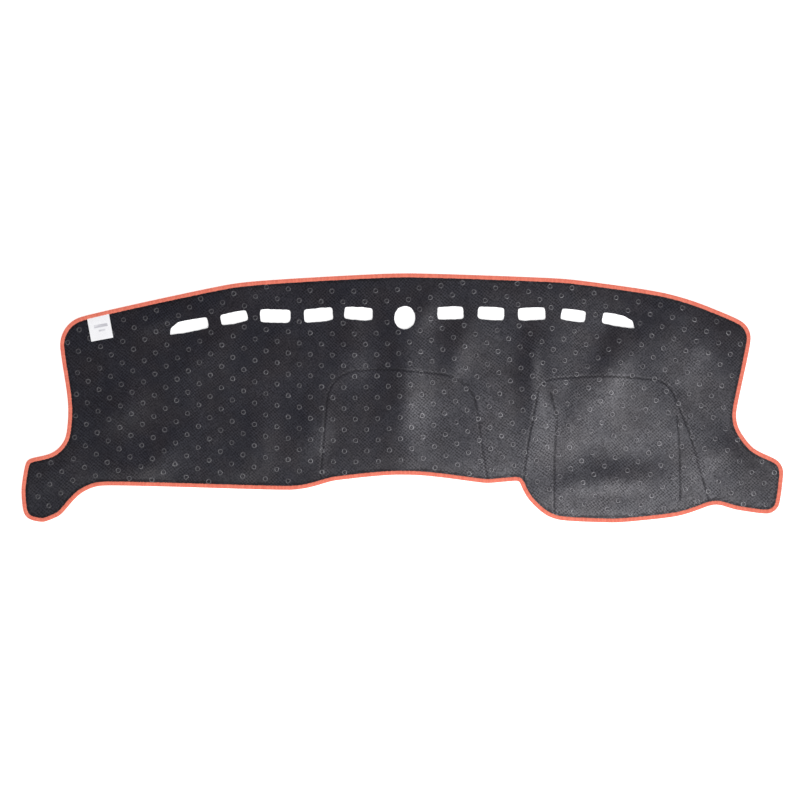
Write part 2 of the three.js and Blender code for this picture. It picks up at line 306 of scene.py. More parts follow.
class NodeBuilder:
    # Short ways to add and join shader nodes
    def __init__(self, tree):
        self.tree = tree

    def add(self, kind, **settings):
        node = self.tree.nodes.new(kind)
        for key, value in settings.items():
            setattr(node, key, value)
        return node

    def put(self, socket, value):
        if isinstance(value, bpy.types.NodeSocket):
            self.tree.links.new(value, socket)
        else:
            socket.default_value = value

    def math(self, operation, *values):
        node = self.add("ShaderNodeMath", operation=operation)
        for socket, value in zip(node.inputs, values):
            self.put(socket, value)
        return node.outputs[0]

    def noise(self, vector, scale, detail=2.0, roughness=0.5):
        node = self.add("ShaderNodeTexNoise")
        self.put(node.inputs["Vector"], vector)
        self.put(node.inputs["Scale"], scale)
        self.put(node.inputs["Detail"], detail)
        self.put(node.inputs["Roughness"], roughness)
        return node.outputs["Fac"]

    def ramp(self, value, low, high, outLow=0.0, outHigh=1.0):
        node = self.add("ShaderNodeMapRange", interpolation_type="SMOOTHSTEP")
        for socket, item in zip(node.inputs, (value, low, high, outLow, outHigh)):
            self.put(socket, item)
        return node.outputs[0]

    def mix(self, share, first, second):
        node = self.add("ShaderNodeMix", data_type="RGBA")
        self.put(node.inputs["Factor"], share)
        self.put(node.inputs["A"], first)
        self.put(node.inputs["B"], second)
        return node.outputs["Result"]

    def split(self, vector):
        node = self.add("ShaderNodeSeparateXYZ")
        self.put(node.inputs[0], vector)
        return node.outputs

    def join(self, x, y, z):
        node = self.add("ShaderNodeCombineXYZ")
        for socket, value in zip(node.inputs, (x, y, z)):
            self.put(socket, value)
        return node.outputs[0]

    def bump(self, height, strength, distance):
        node = self.add("ShaderNodeBump")
        self.put(node.inputs["Strength"], strength)
        self.put(node.inputs["Distance"], distance)
        self.put(node.inputs["Height"], height)
        return node.outputs["Normal"]


def makeDiamondWeave():
    # Two slanting ribs that cross; Vector is in ribs, so one unit is one rib
    group = newGroup(
        "diamondWeave",
        [
            ("Vector", "NodeSocketVector", None),
            ("Cross Share", "NodeSocketFloat", 0.5),
            ("Wobble", "NodeSocketFloat", 0.12),
        ],
        [("Height", "NodeSocketFloat"), ("Valley", "NodeSocketFloat")],
    )
    n = NodeBuilder(group)
    ends = n.add("NodeGroupInput").outputs
    out = n.add("NodeGroupOutput").inputs
    wander = n.math("SUBTRACT", n.noise(ends["Vector"], scale=0.7, detail=1.0), 0.5)
    shift = n.math("MULTIPLY", wander, ends["Wobble"])
    x, y, _ = n.split(ends["Vector"])
    waves = []
    for axis in (x, y):
        turned = n.math("MULTIPLY", n.math("ADD", axis, shift), 2 * math.pi)
        waves.append(n.math("MULTIPLY_ADD", n.math("COSINE", turned), 0.5, 0.5))
    crossed = n.math("MULTIPLY", waves[1], ends["Cross Share"])
    straight = n.math("MULTIPLY", waves[0], n.math("SUBTRACT", 1.0, ends["Cross Share"]))
    height = n.math("ADD", crossed, straight)
    n.put(out["Height"], height)
    n.put(out["Valley"], n.ramp(height, 0.5, 0.1))
    return group


def makeFibre():
    # Fine lint and thread grain, stretched along X by Stretch
    group = newGroup(
        "fibreGrain",
        [
            ("Vector", "NodeSocketVector", None),
            ("Scale", "NodeSocketFloat", 900.0),
            ("Stretch", "NodeSocketFloat", 1.0),
        ],
        [("Grain", "NodeSocketFloat"), ("Clump", "NodeSocketFloat")],
    )
    n = NodeBuilder(group)
    ends = n.add("NodeGroupInput").outputs
    out = n.add("NodeGroupOutput").inputs
    x, y, z = n.split(ends["Vector"])
    pulled = n.join(n.math("DIVIDE", x, ends["Stretch"]), y, z)
    n.put(out["Grain"], n.noise(pulled, ends["Scale"], detail=3.0, roughness=0.65))
    coarse = n.math("MULTIPLY", ends["Scale"], 0.16)
    n.put(out["Clump"], n.noise(pulled, coarse, detail=2.0, roughness=0.55))
    return group


def makeMottle():
    # Broad, soft unevenness, as handling and dust leave it
    group = newGroup(
        "softMottle",
        [
            ("Vector", "NodeSocketVector", None),
            ("Scale", "NodeSocketFloat", 9.0),
            ("Low", "NodeSocketFloat", 0.35),
            ("High", "NodeSocketFloat", 0.7),
        ],
        [("Mask", "NodeSocketFloat")],
    )
    n = NodeBuilder(group)
    ends = n.add("NodeGroupInput").outputs
    out = n.add("NodeGroupOutput").inputs
    cloud = n.noise(ends["Vector"], ends["Scale"], detail=4.0, roughness=0.55)
    n.put(out["Mask"], n.ramp(cloud, ends["Low"], ends["High"]))
    return group


diamondWeave = makeDiamondWeave()
fibreGrain = makeFibre()
softMottle = makeMottle()


def useGroup(n, group, **inputs):
    node = n.add("ShaderNodeGroup", node_tree=group)
    for name, value in inputs.items():
        n.put(node.inputs[name.replace("_", " ")], value)
    return node.outputs


def newMaterial(name, viewColour):
    material = bpy.data.materials.new(name)
    material.use_nodes = True
    material.diffuse_color = (*viewColour, 1)
    n = NodeBuilder(material.node_tree)
    shader = material.node_tree.nodes["Principled BSDF"]
    return material, n, shader.inputs


def setPlain(shader, values):
    # Values that are the same all over the surface
    for socketName, value in values.items():
        shader[socketName].default_value = value


def colour(red, green, blue):
    # A screen colour from 0 to 255 as light
    def light(value):
        value /= 255
        return value / 12.92 if value <= 0.04045 else ((value + 0.055) / 1.055) ** 2.4

    return (light(red), light(green), light(blue), 1)


# The laminated sheet

sheet = {
    "spacing": 0.0039,  # between points of the upper face
    "creaseSpacing": 0.0015,
    "creaseZone": 0.0042,
    "underSpacing": 0.0085,
    "holeSpacing": 0.0022,
    "jitter": 0.12,  # of the points, in spacings
    "creaseJitter": 0.05,
    "rimGap": 0.55,  # least distance to the rim, in spacings
    "holeFray": 0.0006,  # how far the hand-cut slots wander
    "frayWaves": (2, 15),  # fewest around a slot, and one more than the most
    "frayLeast": 0.3,  # of a wave's full height
    "frayFall": 0.6,  # how fast the short waves fade
    "holeShrink": 0.0011,  # the cut felt has crept in a little
    "creaseStep": 0.0004,  # a face this much lower lies in a crease of the frame
    "creaseDepth": 0.00012,
    "creaseSoft": 0.0016,
    "creaseBand": (0.0002, 0.0019),  # distance over which the painted shade along a crease fades
    "creaseShade": 0.4,  # painted shade in a crease, as a share of the painted shade beside the yarn
    "pucker": 0.00014,
    "shoulder": (0.0005, 0.003),  # foot and crest of the cloth beside a crease
    "ruffle": (0.55, 0.45),  # mean share of the pucker, and its wander
    "rufflePitch": 0.009,
    "yarnShadePlace": 0.009,  # where a band of painted shade runs beside the yarn
    "yarnShadeReach": 0.0022,
    "puckerReach": 0.012,
    "cutBulge": 0.00025,
    "leastBulge": 0.4,
    "wallShares": (0.7, 0.3),  # heights of the rings of points in the cut edge
    "sharp": 50,  # degrees
}


def creaseFloor():
    # Faces of the upper side that lie lower than the laminate is thick
    centres = sheetPoints[upside].mean(axis=1)
    depths = []
    for centre in centres:
        start = Vector((centre[0], centre[1], belowSheet))
        hit = undersideTree.ray_cast(start, Vector((0, 0, 1)))[0]
        depths.append(centre[2] - hit.z if hit else 0)
    depths = np.array(depths)
    full = np.median(depths)
    floors = upside[depths < full - sheet["creaseStep"]]
    flat = sheetPoints * np.array([1, 1, 0])
    return full, BVHTree.FromPolygons(flat.tolist(), floors.tolist())


laminate, creaseTree = creaseFloor()


def creaseDistance(points, reach):
    found = np.full(len(points), 1.0)
    for i, (x, y) in enumerate(points):
        hit = creaseTree.find_nearest(Vector((x, y, 0)), reach)
        if hit[0] is not None:
            found[i] = hit[3]
    return found


def hexGrid(spacing, seed, jitter):
    low, high = sheetBox
    rowStep = spacing * math.sqrt(0.75)
    rows = np.arange(low.y, high.y, rowStep)
    columns = np.arange(low.x, high.x, spacing)
    x, y = np.meshgrid(columns, rows)
    x = x + (np.arange(len(rows)) % 2)[:, None] * spacing / 2
    points = np.column_stack([x.ravel(), y.ravel()])
    return points + np.random.default_rng(seed).uniform(-jitter, jitter, points.shape) * spacing


def insideLoop(points, loop):
    inside = np.zeros(len(points), bool)
    x, y = points.T
    for (ax, ay), (bx, by) in zip(loop, np.roll(loop, -1, axis=0)):
        if ay == by:
            continue
        crosses = (ay > y) != (by > y)
        inside ^= crosses & (x < ax + (bx - ax) * (y - ay) / (by - ay))
    return inside


def frayedHole(loop, seed):
    # The slots are cut by hand, so their edges wander a little
    fine = smoothLoop(loop, sheet["holeSpacing"])
    rng = np.random.default_rng(seed)
    count = len(fine)
    turns = np.arange(count) / count
    wander = sum(
        rng.uniform(sheet["frayLeast"], 1) / wave ** sheet["frayFall"]
        * np.sin(2 * math.pi * (wave * turns + rng.uniform()))
        for wave in range(*sheet["frayWaves"])
    )
    wander *= sheet["holeFray"] / np.abs(wander).max()
    return fine + outwardNormals(fine) * (wander - sheet["holeShrink"])[:, None]


holeLoops = [frayedHole(loop, 40 + i) for i, loop in enumerate(cadLoops[1:])]
rims = [edgeLoop] + holeLoops


def insideSheet(points):
    inside = insideLoop(points, edgeLoop[::2])
    for loop in holeLoops:
        box = (points > loop.min(axis=0)).all(axis=1) & (points < loop.max(axis=0)).all(axis=1)
        inner = np.flatnonzero(box)
        if len(inner):
            inside[inner[insideLoop(points[inner], loop)]] = False
    return inside


rimTree = KDTree(sum(len(loop) for loop in rims))
for i, (x, y) in enumerate(np.concatenate(rims)):
    rimTree.insert((x, y, 0), i)
rimTree.balance()


def rimDistance(points):
    return np.array([rimTree.find((x, y, 0))[2] for x, y in points])


def innerPoints(spacing, seed, dense=False):
    points = hexGrid(spacing, seed, sheet["jitter"])
    points = points[insideSheet(points)]
    points = points[rimDistance(points) > spacing * sheet["rimGap"]]
    if not dense:
        return points
    zone = sheet["creaseZone"]
    points = points[creaseDistance(points, zone) > zone]
    fine = hexGrid(sheet["creaseSpacing"], seed + 1, sheet["creaseJitter"])
    near = [creaseTree.find_nearest(Vector((x, y, 0)), zone)[0] is not None for x, y in fine]
    fine = fine[np.array(near)]
    fine = fine[insideSheet(fine)]
    fine = fine[rimDistance(fine) > sheet["creaseSpacing"]]
    return np.vstack([points, fine])


def triangulate(inner):
    # Rim points come first, in the order of rims
    points = np.vstack(rims + [inner])
    edges = []
    first = 0
    for loop in rims:
        size = len(loop)
        edges += [(first + i, first + (i + 1) % size) for i in range(size)]
        first += size
    scaled = [Vector(p) for p in points * 1000]  # in millimetres, for the tolerance
    verts, _, faces, sources, _, _ = delaunay_2d_cdt(scaled, edges, [], 0, 1e-4)
    back = np.array([source[0] for source in sources])
    triangles = back[np.array(faces)]
    rimOnly = (triangles < first).all(axis=1)
    centres = points[triangles[rimOnly]].mean(axis=1)
    keep = np.ones(len(triangles), bool)
    keep[np.flatnonzero(rimOnly)[~insideSheet(centres)]] = False
    return points, triangles[keep], first


def meshFrom(name, points, faces, slots=None, smooth=True):
    mesh = bpy.data.meshes.new(name)
    mesh.from_pydata(points.tolist(), [], faces)
    mesh.update()
    if slots is not None:
        mesh.polygons.foreach_set("material_index", np.asarray(slots, np.int32))
    if smooth:
        mesh.shade_smooth()
    piece = bpy.data.objects.new(name, mesh)
    scene.collection.objects.link(piece)
    return piece


def creaseShape(points):
    # Pressed line with a soft shoulder and small puckers beside it
    reach = sheet["puckerReach"]
    away = creaseDistance(points, reach)
    pressed = 1 - smoothStep(away, 0, sheet["creaseSoft"])
    foot, crest = sheet["shoulder"]
    shoulder = smoothStep(away, foot, crest) * (1 - smoothStep(away, crest, reach))
    mean, wander = sheet["ruffle"]
    ruffle = mean + wander * softNoise(points, sheet["rufflePitch"], 21)
    return sheet["pucker"] * shoulder * ruffle - sheet["creaseDepth"] * pressed


def paintedShadeShare(points):
    # Share of painted shade at each point: a dark line along the creases and a dark band beside the yarn
    away = creaseDistance(points, sheet["puckerReach"])
    crease = 1 - smoothStep(away, *sheet["creaseBand"])
    fromSeam = np.abs(edgeDistance(points) - sheet["yarnShadePlace"])
    seam = 1 - smoothStep(fromSeam, 0.0, sheet["yarnShadeReach"])
    return np.maximum(crease * sheet["creaseShade"], seam)


def makeSheet():
    upper, upperFaces, rimCount = triangulate(innerPoints(sheet["spacing"], 31, dense=True))
    lower, lowerFaces, _ = triangulate(innerPoints(sheet["underSpacing"], 35))
    print("sheet triangulated", len(upperFaces), len(lowerFaces))
    upperHeight = groundHeight(upper) + laminate + creaseShape(upper)
    lowerHeight = groundHeight(lower)
    # Two rings of points down the cut edge, a little proud in its middle
    holeNormals = [-outwardNormals(loop) for loop in holeLoops]
    rimNormals = np.concatenate([outwardNormals(edgeLoop)] + holeNormals)
    rng = np.random.default_rng(36)
    bulge = rng.uniform(sheet["leastBulge"], 1.0, rimCount) * sheet["cutBulge"]
    place = upper[:rimCount] + rimNormals * bulge[:, None]
    blocks = [np.column_stack([upper, upperHeight])]
    for share in sheet["wallShares"]:
        level = upperHeight[:rimCount] * share + lowerHeight[:rimCount] * (1 - share)
        blocks.append(np.column_stack([place, level]))
    blocks.append(np.column_stack([lower, lowerHeight]))
    starts = np.cumsum([0] + [len(block) for block in blocks])
    faces = upperFaces.tolist()
    faces += (lowerFaces[:, ::-1] + starts[3]).tolist()
    # Materials: 0 backing, 1 cut edge, 2 pile
    slots = [0] * len(upperFaces) + [2] * len(lowerFaces)
    first = 0
    for index, loop in enumerate(rims):
        size = len(loop)
        for top, bottom in zip(starts[:3], starts[1:4]):
            for i in range(size):
                here, ahead = first + i, first + (i + 1) % size
                wall = [top + here, bottom + here, bottom + ahead, top + ahead]
                faces.append(wall if index == 0 else wall[::-1])
        slots += [1] * (3 * size)
        first += size
    points = np.vstack(blocks)
    piece = meshFrom("backing_sheet", points, faces, slots)
    piece.data.set_sharp_from_angle(angle=math.radians(sheet["sharp"]))
    # The pressed attribute carries this painted shade to the backing's colour
    pressed = piece.data.attributes.new(name="pressed", type="FLOAT", domain="POINT")
    pressed.data.foreach_set("value", paintedShadeShare(points[:, :2]))
    return piece


# Lattice of the grip rings. The ribs of the weave run along its slanting rows,
# and the rows sag between two cusps, as the cloth was pulled when it was coated

lattice = {
    "across": 0.0439,
    "up": 0.0420,
    "anchor": (-0.1151, 0.1192),
    "cusp": -0.5213,
    "span": 0.8281,
    "sag": 0.0559,
    "lean": -0.0213,
    "fan": -0.1,  # more lean with every metre to the right
    "ribsPerRing": 6,
}


def rowSag(x):
    share = np.mod(x - lattice["cusp"], lattice["span"]) / lattice["span"]
    return -4 * lattice["sag"] * share * (1 - share)


def latticePlace(points):
    x, y = points.T
    straightX = x - lattice["lean"] * y - lattice["fan"] * x * y
    across = (straightX - lattice["anchor"][0]) / lattice["across"]
    up = (y - rowSag(x) - lattice["anchor"][1]) / lattice["up"]
    return np.column_stack([across + up, across - up])


def latticePoint(i, j):
    straightX = lattice["anchor"][0] + (i + j) / 2 * lattice["across"]
    straightY = lattice["anchor"][1] + (i - j) / 2 * lattice["up"]
    x, y = straightX, straightY
    for _ in range(12):  # the bend depends on the place itself, so it is closed in on
        x = straightX + lattice["lean"] * y + lattice["fan"] * x * y
        y = straightY + rowSag(x)
    return np.column_stack([x, y])


def addLatticeMap(piece):
    mesh = piece.data
    points = np.empty(len(mesh.vertices) * 3)
    mesh.vertices.foreach_get("co", points)
    places = latticePlace(points.reshape(-1, 3)[:, :2]) * lattice["ribsPerRing"]
    corners = np.empty(len(mesh.loops), int)
    mesh.loops.foreach_get("vertex_index", corners)
    layer = mesh.uv_layers.new(name="ribs")
    layer.data.foreach_set("uv", places[corners].ravel())


backing = {
    "dark": colour(6, 5, 11),
    "light": colour(23, 17, 27),
    "cool": colour(17, 18, 33),  # where the coating has taken less dye
    "dust": colour(80, 74, 80),
    "lintShade": 1.6,  # how much the lint breaks up the weave
    "hollowShade": 0.12,  # darker inside a grip ring
    "paintedShadeStrength": 0.7,  # painted shade: darker in creases and beside the yarn
    "dusting": (0.4, 0.8, 0.02, 0.25),  # grain from and to, and the dust there
    "roughness": 0.55,
    "roughSpread": 0.12,  # between smooth and linty places
    "cloudRough": 0.06,  # rougher where dusty
    "glossNap": (0.1, 0.85),  # nap in the valleys and on the ribs
    "gloss": (0.25, 1.0),  # coat in the valleys and on the ribs
    "glossWear": (0.9, 0.55),  # change with the lint, and least
    "ribHeight": 0.00027,
    "ribStrength": 0.6,
    "ribShare": (0.25, 1.05),  # how clearly the ribs show, where least and where most
    "lintRelief": 0.5,
    "navel": 0.0026,  # radius of the hollow inside a grip ring
    "navelSoft": 0.3,
    "plain": {"Specular IOR Level": 0.15, "Coat Roughness": 0.36},
}


def ringHollow(n, ribs):
    # 1 inside a grip ring, falling to 0 at its wall
    u, v, _ = n.split(ribs)
    places = []
    for axis in (u, v):
        place = n.math("DIVIDE", axis, lattice["ribsPerRing"])
        places.append(n.math("SUBTRACT", place, n.math("ROUND", place)))
    across = n.math("MULTIPLY", n.math("ADD", *places), lattice["across"] / 2)
    up = n.math("MULTIPLY", n.math("SUBTRACT", *places), lattice["up"] / 2)
    square = n.math("ADD", n.math("MULTIPLY", across, across), n.math("MULTIPLY", up, up))
    soft = backing["navel"] * backing["navelSoft"]
    return n.ramp(n.math("SQRT", square), backing["navel"] + soft, backing["navel"] - soft)


def makeBackingMaterial():
    material, n, shader = newMaterial("non_slip_backing", backing["light"][:3])
    place = n.add("ShaderNodeTexCoord").outputs["Object"]
    ribs = n.add("ShaderNodeUVMap", uv_map="ribs").outputs["UV"]
    weave = useGroup(n, diamondWeave, Vector=ribs, Cross_Share=0.46, Wobble=1.0)
    lint = useGroup(n, fibreGrain, Vector=place, Scale=340.0, Stretch=1.0)
    rubbed = useGroup(n, softMottle, Vector=place, Scale=34.0, Low=0.38, High=0.62)
    hollow = ringHollow(n, ribs)
    # Painted shade along the creases and beside the yarn
    pressed = n.add("ShaderNodeAttribute", attribute_name="pressed").outputs["Fac"]
    cloud = useGroup(n, softMottle, Vector=place, Scale=9.0, Low=0.42, High=0.72)
    clear = n.ramp(rubbed["Mask"], 0.0, 1.0, *backing["ribShare"])
    rib = n.math("MULTIPLY_ADD", n.math("SUBTRACT", weave["Height"], 0.5), clear, 0.5)
    napAndShade = n.math("MULTIPLY_ADD", n.math("SUBTRACT", lint["Grain"], 0.5), backing["lintShade"], rib)
    # The weave's tone is darkened here by painted shade
    napAndShade = n.math("MULTIPLY_ADD", pressed, -backing["paintedShadeStrength"], napAndShade)
    napAndShade = n.math("MULTIPLY_ADD", hollow, -backing["hollowShade"], napAndShade)
    dyed = useGroup(n, softMottle, Vector=place, Scale=11.0, Low=0.36, High=0.6)
    body = n.mix(napAndShade, backing["dark"], n.mix(dyed["Mask"], backing["light"], backing["cool"]))
    dusty = n.math("MULTIPLY", cloud["Mask"], n.ramp(lint["Grain"], *backing["dusting"]))
    n.put(shader["Base Color"], n.mix(dusty, body, backing["dust"]))
    leastRough = backing["roughness"] - backing["roughSpread"] / 2
    rough = n.math("MULTIPLY_ADD", lint["Clump"], backing["roughSpread"], leastRough)
    n.put(shader["Roughness"], n.math("MULTIPLY_ADD", cloud["Mask"], backing["cloudRough"], rough))
    shine = n.ramp(napAndShade, *backing["glossNap"], *backing["gloss"])
    worn = n.math("MULTIPLY_ADD", lint["Clump"], *backing["glossWear"])
    n.put(shader["Coat Weight"], n.math("MULTIPLY", shine, worn))
    relief = n.math("MULTIPLY_ADD", lint["Grain"], backing["lintRelief"], rib)
    n.put(shader["Normal"], n.bump(relief, backing["ribStrength"], backing["ribHeight"]))
    setPlain(shader, backing["plain"])
    return material


cutEdge = {
    "felt": colour(70, 68, 74),
    "fluff": colour(150, 148, 152),
    "fluffGrain": (0.45, 0.75),
    "bump": (0.8, 0.0005),  # strength, height
    "plain": {"Roughness": 0.95},
}


def makeCutMaterial():
    material, n, shader = newMaterial("cut_felt", cutEdge["felt"][:3])
    place = n.add("ShaderNodeTexCoord").outputs["Object"]
    lint = useGroup(n, fibreGrain, Vector=place, Scale=2200.0, Stretch=1.0)
    fluffy = n.ramp(lint["Grain"], *cutEdge["fluffGrain"])
    n.put(shader["Base Color"], n.mix(fluffy, cutEdge["felt"], cutEdge["fluff"]))
    n.put(shader["Normal"], n.bump(lint["Grain"], *cutEdge["bump"]))
    setPlain(shader, cutEdge["plain"])
    return material


pile = {
    "dark": colour(22, 22, 25),
    "light": colour(48, 47, 52),
    "brushShare": 0.4,
    "bump": (0.9, 0.0008),
    "plain": {"Roughness": 1.0, "Sheen Weight": 0.4},
}


def makePileMaterial():
    material, n, shader = newMaterial("short_pile", pile["light"][:3])
    place = n.add("ShaderNodeTexCoord").outputs["Object"]
    tuft = useGroup(n, fibreGrain, Vector=place, Scale=1300.0, Stretch=1.0)
    brushed = useGroup(n, softMottle, Vector=place, Scale=14.0, Low=0.35, High=0.65)
    tufted = n.math("MULTIPLY", tuft["Grain"], 1 - pile["brushShare"])
    shade = n.math("MULTIPLY_ADD", brushed["Mask"], pile["brushShare"], tufted)
    n.put(shader["Base Color"], n.mix(shade, pile["dark"], pile["light"]))
    n.put(shader["Normal"], n.bump(tuft["Grain"], *pile["bump"]))
    setPlain(shader, pile["plain"])
    return material


sheetPiece = makeSheet()
addLatticeMap(sheetPiece)
for material in (makeBackingMaterial(), makeCutMaterial(), makePileMaterial()):
    sheetPiece.data.materials.append(material)
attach(sheetPiece, "root")
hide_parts("mat_sheet")
print("sheet done")


# Grip rings of the backing

rings = {
    "radius": 0.0040,  # middle of the rounded wall
    "wall": 0.0012,
    "height": 0.00032,
    "sides": 18,
    "section": 6,
    "edgeRoom": 0.011,
    "holeRoom": 0.004,
    "latticeSteps": 60,  # tried each way from the anchor
    "unevenness": 0.10,
    "lobes": 3,
    "lobeRange": (0.3, 1),
    "wallRange": (0.85, 1.1),
    "radiusRange": (0.95, 1.05),
}


def ringCentres():
    steps = np.arange(-rings["latticeSteps"], rings["latticeSteps"] + 1)
    i, j = (grid.ravel() for grid in np.meshgrid(steps, steps))
    places = latticePoint(i, j)
    places = places[insideSheet(places)]
    places = places[edgeDistance(places) > rings["edgeRoom"]]
    return places[rimDistance(places) > rings["radius"] + rings["holeRoom"]]


def makeRings():
    centres = ringCentres()
    rng = np.random.default_rng(51)
    around = np.arange(rings["sides"]) * 2 * math.pi / rings["sides"]
    across = np.arange(rings["section"]) * 2 * math.pi / rings["section"]
    points, faces = [], []
    for centre in centres:
        wave = np.sin(rings["lobes"] * around + rng.uniform(0, 2 * math.pi))
        uneven = 1 + rings["unevenness"] * wave * rng.uniform(*rings["lobeRange"])
        first = len(points) * rings["sides"] * rings["section"]
        wall = rings["wall"] * rng.uniform(*rings["wallRange"])
        radius = rings["radius"] * rng.uniform(*rings["radiusRange"])
        out = radius * uneven[:, None] + wall * np.cos(across)[None, :]
        x = centre[0] + out * np.cos(around)[:, None]
        y = centre[1] + out * np.sin(around)[:, None]
        rise = np.broadcast_to(rings["height"] * np.sin(across)[None, :], x.shape)
        points.append(np.column_stack([x.ravel(), y.ravel(), rise.ravel()]))
        for i in range(rings["sides"]):
            for k in range(rings["section"]):
                nextI, nextK = (i + 1) % rings["sides"], (k + 1) % rings["section"]
                here, beside = first + i * rings["section"], first + nextI * rings["section"]
                faces.append((here + k, beside + k, beside + nextK, here + nextK))
    points = np.concatenate(points)
    points[:, 2] += groundHeight(points[:, :2]) + laminate + creaseShape(points[:, :2])
    piece = meshFrom("grip_rings", points, faces)
    print("grip rings", len(centres))
    return piece


rubber = {
    "dark": colour(16, 15, 22),
    "light": colour(46, 43, 52),
    "kept": (0.66, 1.0),  # rubber left where rubbed most and least
    "fresh": (0.3, 0.65),
    "gloss": (0.3, 0.6, 0.4, 1.0),  # clump from and to, and the coat there
    "bump": (0.25, 0.0002),
    "plain": {"Roughness": 0.5, "Coat Roughness": 0.36, "Coat IOR": 2.1, "Specular IOR Level": 0.2},
}


def makeRubberMaterial():
    material, n, shader = newMaterial("grip_rubber", rubber["light"][:3])
    place = n.add("ShaderNodeTexCoord").outputs["Object"]
    lint = useGroup(n, fibreGrain, Vector=place, Scale=1100.0, Stretch=1.0)
    worn = useGroup(n, softMottle, Vector=place, Scale=45.0, Low=0.36, High=0.64)
    kept = n.ramp(worn["Mask"], 0.0, 1.0, *rubber["kept"])
    fresh = n.math("MULTIPLY", n.ramp(lint["Grain"], *rubber["fresh"]), kept)
    n.put(shader["Base Color"], n.mix(fresh, rubber["dark"], rubber["light"]))
    gloss = n.ramp(lint["Clump"], *rubber["gloss"])
    n.put(shader["Coat Weight"], n.math("MULTIPLY", gloss, kept))
    n.put(shader["Normal"], n.bump(lint["Grain"], *rubber["bump"]))
    setPlain(shader, rubber["plain"])
    return material


ringPiece = makeRings()
ringPiece.data.materials.append(makeRubberMaterial())
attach(ringPiece, "root")


# Overlocked yarn

binding = {
    "stitch": 0.0027,  # along the edge
    "stations": 4,  # sections to a stitch
    "width": 0.0079,
    "room": 0.00025,  # between the yarn and the sheet
    "lip": 0.00115,
    "toe": 0.0002,  # thickness at the last stitches
    "throat": 0.3,  # where the cut edge of the sheet ends, as a share of the width
    # From the outer edge inwards: share of the width, share of the crown, share of the relief
    "profile": [
        (0.0, 0.36, 1.0),
        (0.05, 0.72, 1.0),
        (0.16, 0.94, 1.0),
        (0.38, 1.0, 1.0),
        (0.68, 0.97, 1.0),
        (0.92, 0.84, 0.8),
    ],
    "relief": 0.00034,
    "ridgePower": 0.7,  # below 1 the stitches are fuller
    "ridgeMiddle": 0.6,
    "plump": (0.85, 1.12),
    "slant": 0.35,  # stitches lean by this share of a stitch across the yarn
    "ragged": 0.0003,
    "raggedFrom": 0.8,  # share of the width
    "scallop": 0.0005,  # how much further in the stitches reach than their gaps
    "clear": 0.00005,  # least height over the floor
}


def yarnSection():
    # Distance from the outer edge and height above the sheet's middle; relief share last
    channel = laminate / 2 + binding["room"]
    crown = channel + binding["lip"]
    width = binding["width"]
    half = [(width * u, crown * z, relief) for u, z, relief in binding["profile"]]
    half += [(width, channel + binding["toe"], 0.0), (width * binding["throat"], channel, 0.0)]
    return np.array(half + [(u, -z, r) for u, z, r in reversed(half)])


def makeBinding():
    section = yarnSection()
    size = len(section)
    perimeter = np.linalg.norm(np.roll(edgeLoop, -1, axis=0) - edgeLoop, axis=1).sum()
    stitches = int(round(perimeter / binding["stitch"]))
    count = stitches * binding["stations"]
    path = resampledLoop(edgeLoop, perimeter / count)
    outward = outwardNormals(path)
    rng = np.random.default_rng(61)
    station = np.arange(count)
    travel = station / binding["stations"]
    ragged = rng.uniform(-1, 1, stitches + 2)
    plump = rng.uniform(*binding["plump"], stitches + 2)
    rows = []
    for u, z, relief in section:
        phase = travel + binding["slant"] * (u / binding["width"]) * (1 if z > 0 else -1)
        whole = np.floor(phase).astype(int) % stitches
        ridge = np.abs(np.sin(math.pi * phase)) ** binding["ridgePower"]
        lift = binding["relief"] * relief * (ridge - binding["ridgeMiddle"]) * plump[whole]
        atInner = smoothStep(np.array(u), binding["width"] * binding["raggedFrom"], binding["width"])
        wander = binding["ragged"] * ragged[whole] + binding["scallop"] * (ridge - 0.5)
        away = yarnCore - u - atInner * wander
        raised = np.sign(z) * lift
        if u == 0.0:  # the outermost points stand outwards instead
            away = away + lift
            raised = np.zeros(count)
        place = path + outward * away[:, None]
        rows.append((place, z + raised))
    middle = groundHeight(path, np.zeros(count)) + laminate / 2
    points = np.empty((count, size, 3))
    for k, (place, level) in enumerate(rows):
        points[:, k, :2] = place
        tilt = rippleHeight(place) - rippleHeight(path)
        points[:, k, 2] = np.maximum(middle + level + tilt, binding["clear"])
    faces = []
    for i in range(count):
        here, ahead = i * size, ((i + 1) % count) * size
        for k in range(size):
            nextK = (k + 1) % size
            faces.append((here + k, here + nextK, ahead + nextK, ahead + k))
    piece = meshFrom("overlock_yarn", points.reshape(-1, 3), faces)
    layer = piece.data.uv_layers.new(name="yarn")
    corner = []
    for i in range(count):
        for k in range(size):
            a, b = i / binding["stations"], (i + 1) / binding["stations"]
            corner += [(a, k / size), (a, (k + 1) / size), (b, (k + 1) / size), (b, k / size)]
    layer.data.foreach_set("uv", np.array(corner).ravel())
    print("yarn stitches", stitches)
    return piece


yarn = {
    # deep and bright are shaded and lit tones of one coral, mixed by painted shade and a random tone per
    # stitch
    "deep": colour(198, 82, 62),
    "bright": colour(234, 128, 104),
    "pale": colour(246, 176, 154),
    "perStitch": 0.35,  # share of the tone that changes from stitch to stitch; the rest is painted shade across each stitch
    "paleGrain": (0.55, 0.8, 0.0, 0.5),  # grain from and to, and the pale fibres there
    "bump": (0.4, 0.0004),
    "plain": {"Roughness": 0.75, "Sheen Weight": 0.25, "Sheen Roughness": 0.5},
}


